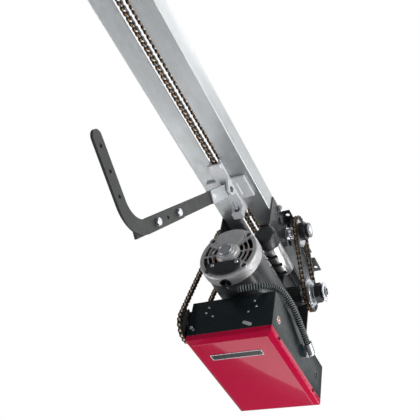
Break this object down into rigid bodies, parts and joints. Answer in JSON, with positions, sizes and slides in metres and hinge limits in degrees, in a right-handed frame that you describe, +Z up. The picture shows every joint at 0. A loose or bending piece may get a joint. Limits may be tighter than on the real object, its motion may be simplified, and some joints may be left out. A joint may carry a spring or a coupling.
{
  "type": "garage door opener",
  "caption": "Ceiling-hung trolley door opener: rails with a chain-driven trolley and bent door arm, head frame, gear motor, clutch sprockets and electrical box with red cover.",
  "frame": {"origin": "centre of the four ceiling-hanger holes, in the top plane of the head's ears", "axes": "+X along the track toward the door, +Y toward the reduction-chain side, +Z up"},
  "size_m": [1.105, 0.28, 0.4861],
  "materials": {
    "galvanised_steel": "satin zinc",
    "black_frame": "semi-gloss powder coat",
    "zinc_steel": "bright zinc plate",
    "dark_steel": "black oxide",
    "chain_steel": "oiled",
    "cast_aluminium": "as cast",
    "cast_iron": "painted",
    "motor_shell": "satin",
    "black_plastic": "matte",
    "capacitor_metal": "satin",
    "red_cover": "gloss",
    "plate": "gloss with a silver rim",
    "bronze": "machined",
    "green_board": "solder mask",
    "white_plastic": "satin",
    "red_plastic": "satin"
  },
  "bodies": {
    "frame": {"rail_left": "galvanised_steel", "rail_right": "galvanised_steel", "track_spacers": "zinc_steel", "rail_bolts": "zinc_steel", "header_bracket": "galvanised_steel", "idler_bracket": "galvanised_steel", "head_frame": "black_frame", "shaft_bearings": "zinc_steel", "bearing_bolts": "dark_steel", "trolley_chain": "chain_steel", "reduction_chain": "chain_steel", "limit_chain": "chain_steel", "reducer_housing": "cast_iron", "reducer_cover": "cast_iron", "frame_screws": "zinc_steel", "motor_rear_flange": "motor_shell", "motor_shell": "motor_shell", "motor_end_bell": "cast_aluminium", "terminal_cover": "black_frame", "motor_screws": "zinc_steel", "capacitor_boot": "black_plastic", "capacitor_can": "capacitor_metal", "capacitor_clamp": "black_plastic", "conduit": "black_plastic", "conduit_grommet": "black_plastic", "conduit_connector": "zinc_steel", "electrical_box": "black_frame", "box_hangers": "black_frame", "cover_screws": "dark_steel", "logic_board": "green_board", "button_case": "black_plastic", "limit_bracket": "zinc_steel"},
    "drive": {"drive_shaft": "zinc_steel", "drive_sprocket": "dark_steel", "driven_sprocket": "zinc_steel", "limit_drive_sprocket": "dark_steel", "shaft_end_washer": "zinc_steel"},
    "idler": {"idler_sprocket": "dark_steel"},
    "clutch_ring": {"clutch_sprocket": "zinc_steel"},
    "output": {"output_shaft": "zinc_steel", "worm_wheel": "bronze", "clutch_discs": "zinc_steel", "clutch_nut": "dark_steel", "lock_disc": "zinc_steel"},
    "rotor": {"motor_rotor": "zinc_steel"},
    "limit": {"limit_shaft": "zinc_steel", "limit_shaft_sprocket": "dark_steel"},
    "limit_nut_pair": {"limit_nuts": "white_plastic"},
    "trolley": {"trolley_body": "cast_aluminium", "takeup_bolt": "zinc_steel", "pivot_pin": "zinc_steel"},
    "arm": {"arm_sleeve": "zinc_steel", "straight_arm": "dark_steel", "curved_arm": "dark_steel", "arm_bolts": "zinc_steel"},
    "lid": {"cover": "red_cover", "nameplate": "plate"},
    "open_button": {"button_open": "black_plastic"},
    "close_button": {"button_close": "white_plastic"},
    "stop_button": {"button_stop": "red_plastic"}
  },
  "joints": [
    {"name": "trolley_slide", "type": "slide", "parent": "frame", "child": "trolley", "axis": [1, 0, 0], "range_m": [0, 0.4572]},
    {"name": "arm_pivot", "type": "hinge", "parent": "trolley", "child": "arm", "pos_m": [0.31, 0, -0.081], "axis": [0, 1, 0], "range_deg": [-30, 35.5]},
    {"name": "drive_shaft_spin", "type": "hinge", "parent": "frame", "child": "drive", "pos_m": [0.078, 0, -0.039], "axis": [0, 1, 0], "range_deg": [-1445, 5]},
    {"name": "idler_spin", "type": "hinge", "parent": "frame", "child": "idler", "pos_m": [0.90985, 0, -0.039], "axis": [0, 1, 0], "range_deg": [-1445, 5]},
    {"name": "clutch_ring_spin", "type": "hinge", "parent": "frame", "child": "clutch_ring", "pos_m": [-0.0256, 0, -0.1675], "axis": [0, 1, 0], "range_deg": [-1308, 5]},
    {"name": "limit_shaft_spin", "type": "hinge", "parent": "frame", "child": "limit", "pos_m": [0.1707, 0, -0.3691], "axis": [0, 1, 0], "range_deg": [-1597, 5]},
    {"name": "limit_nut_travel", "type": "slide", "parent": "frame", "child": "limit_nut_pair", "axis": [0, 1, 0], "range_m": [-0.0002, 0.036]},
    {"name": "motor_spin", "type": "hinge", "parent": "frame", "child": "rotor", "pos_m": [0.1, -0.004, -0.224], "axis": [1, 0, 0], "continuous": true},
    {"name": "output_spin", "type": "hinge", "parent": "frame", "child": "output", "pos_m": [-0.0256, 0, -0.1675], "axis": [0, 1, 0], "continuous": true},
    {"name": "cover_drop", "type": "slide", "parent": "frame", "child": "lid", "axis": [0, 0, -1], "range_m": [0, 0.12]},
    {"name": "open_button_press", "type": "slide", "parent": "frame", "child": "open_button", "axis": [0, 0, 1], "range_m": [0, 0.003], "stiffness_N_per_m": 300, "springref_m": -0.002},
    {"name": "close_button_press", "type": "slide", "parent": "frame", "child": "close_button", "axis": [0, 0, 1], "range_m": [0, 0.003], "stiffness_N_per_m": 300, "springref_m": -0.002},
    {"name": "stop_button_press", "type": "slide", "parent": "frame", "child": "stop_button", "axis": [0, 0, 1], "range_m": [0, 0.003], "stiffness_N_per_m": 300, "springref_m": -0.002}
  ],
  "couplings": [
    {"joint": "drive_shaft_spin", "follows": "trolley_slide", "rad_per_m": -54.971},
    {"joint": "idler_spin", "follows": "trolley_slide", "rad_per_m": -54.971},
    {"joint": "clutch_ring_spin", "follows": "trolley_slide", "rad_per_m": -49.736},
    {"joint": "limit_shaft_spin", "follows": "trolley_slide", "rad_per_m": -60.757},
    {"joint": "limit_nut_travel", "follows": "trolley_slide", "ratio": 0.077359},
    {"joint": "output_spin", "follows": "motor_spin", "ratio": 0.033333}
  ]
}
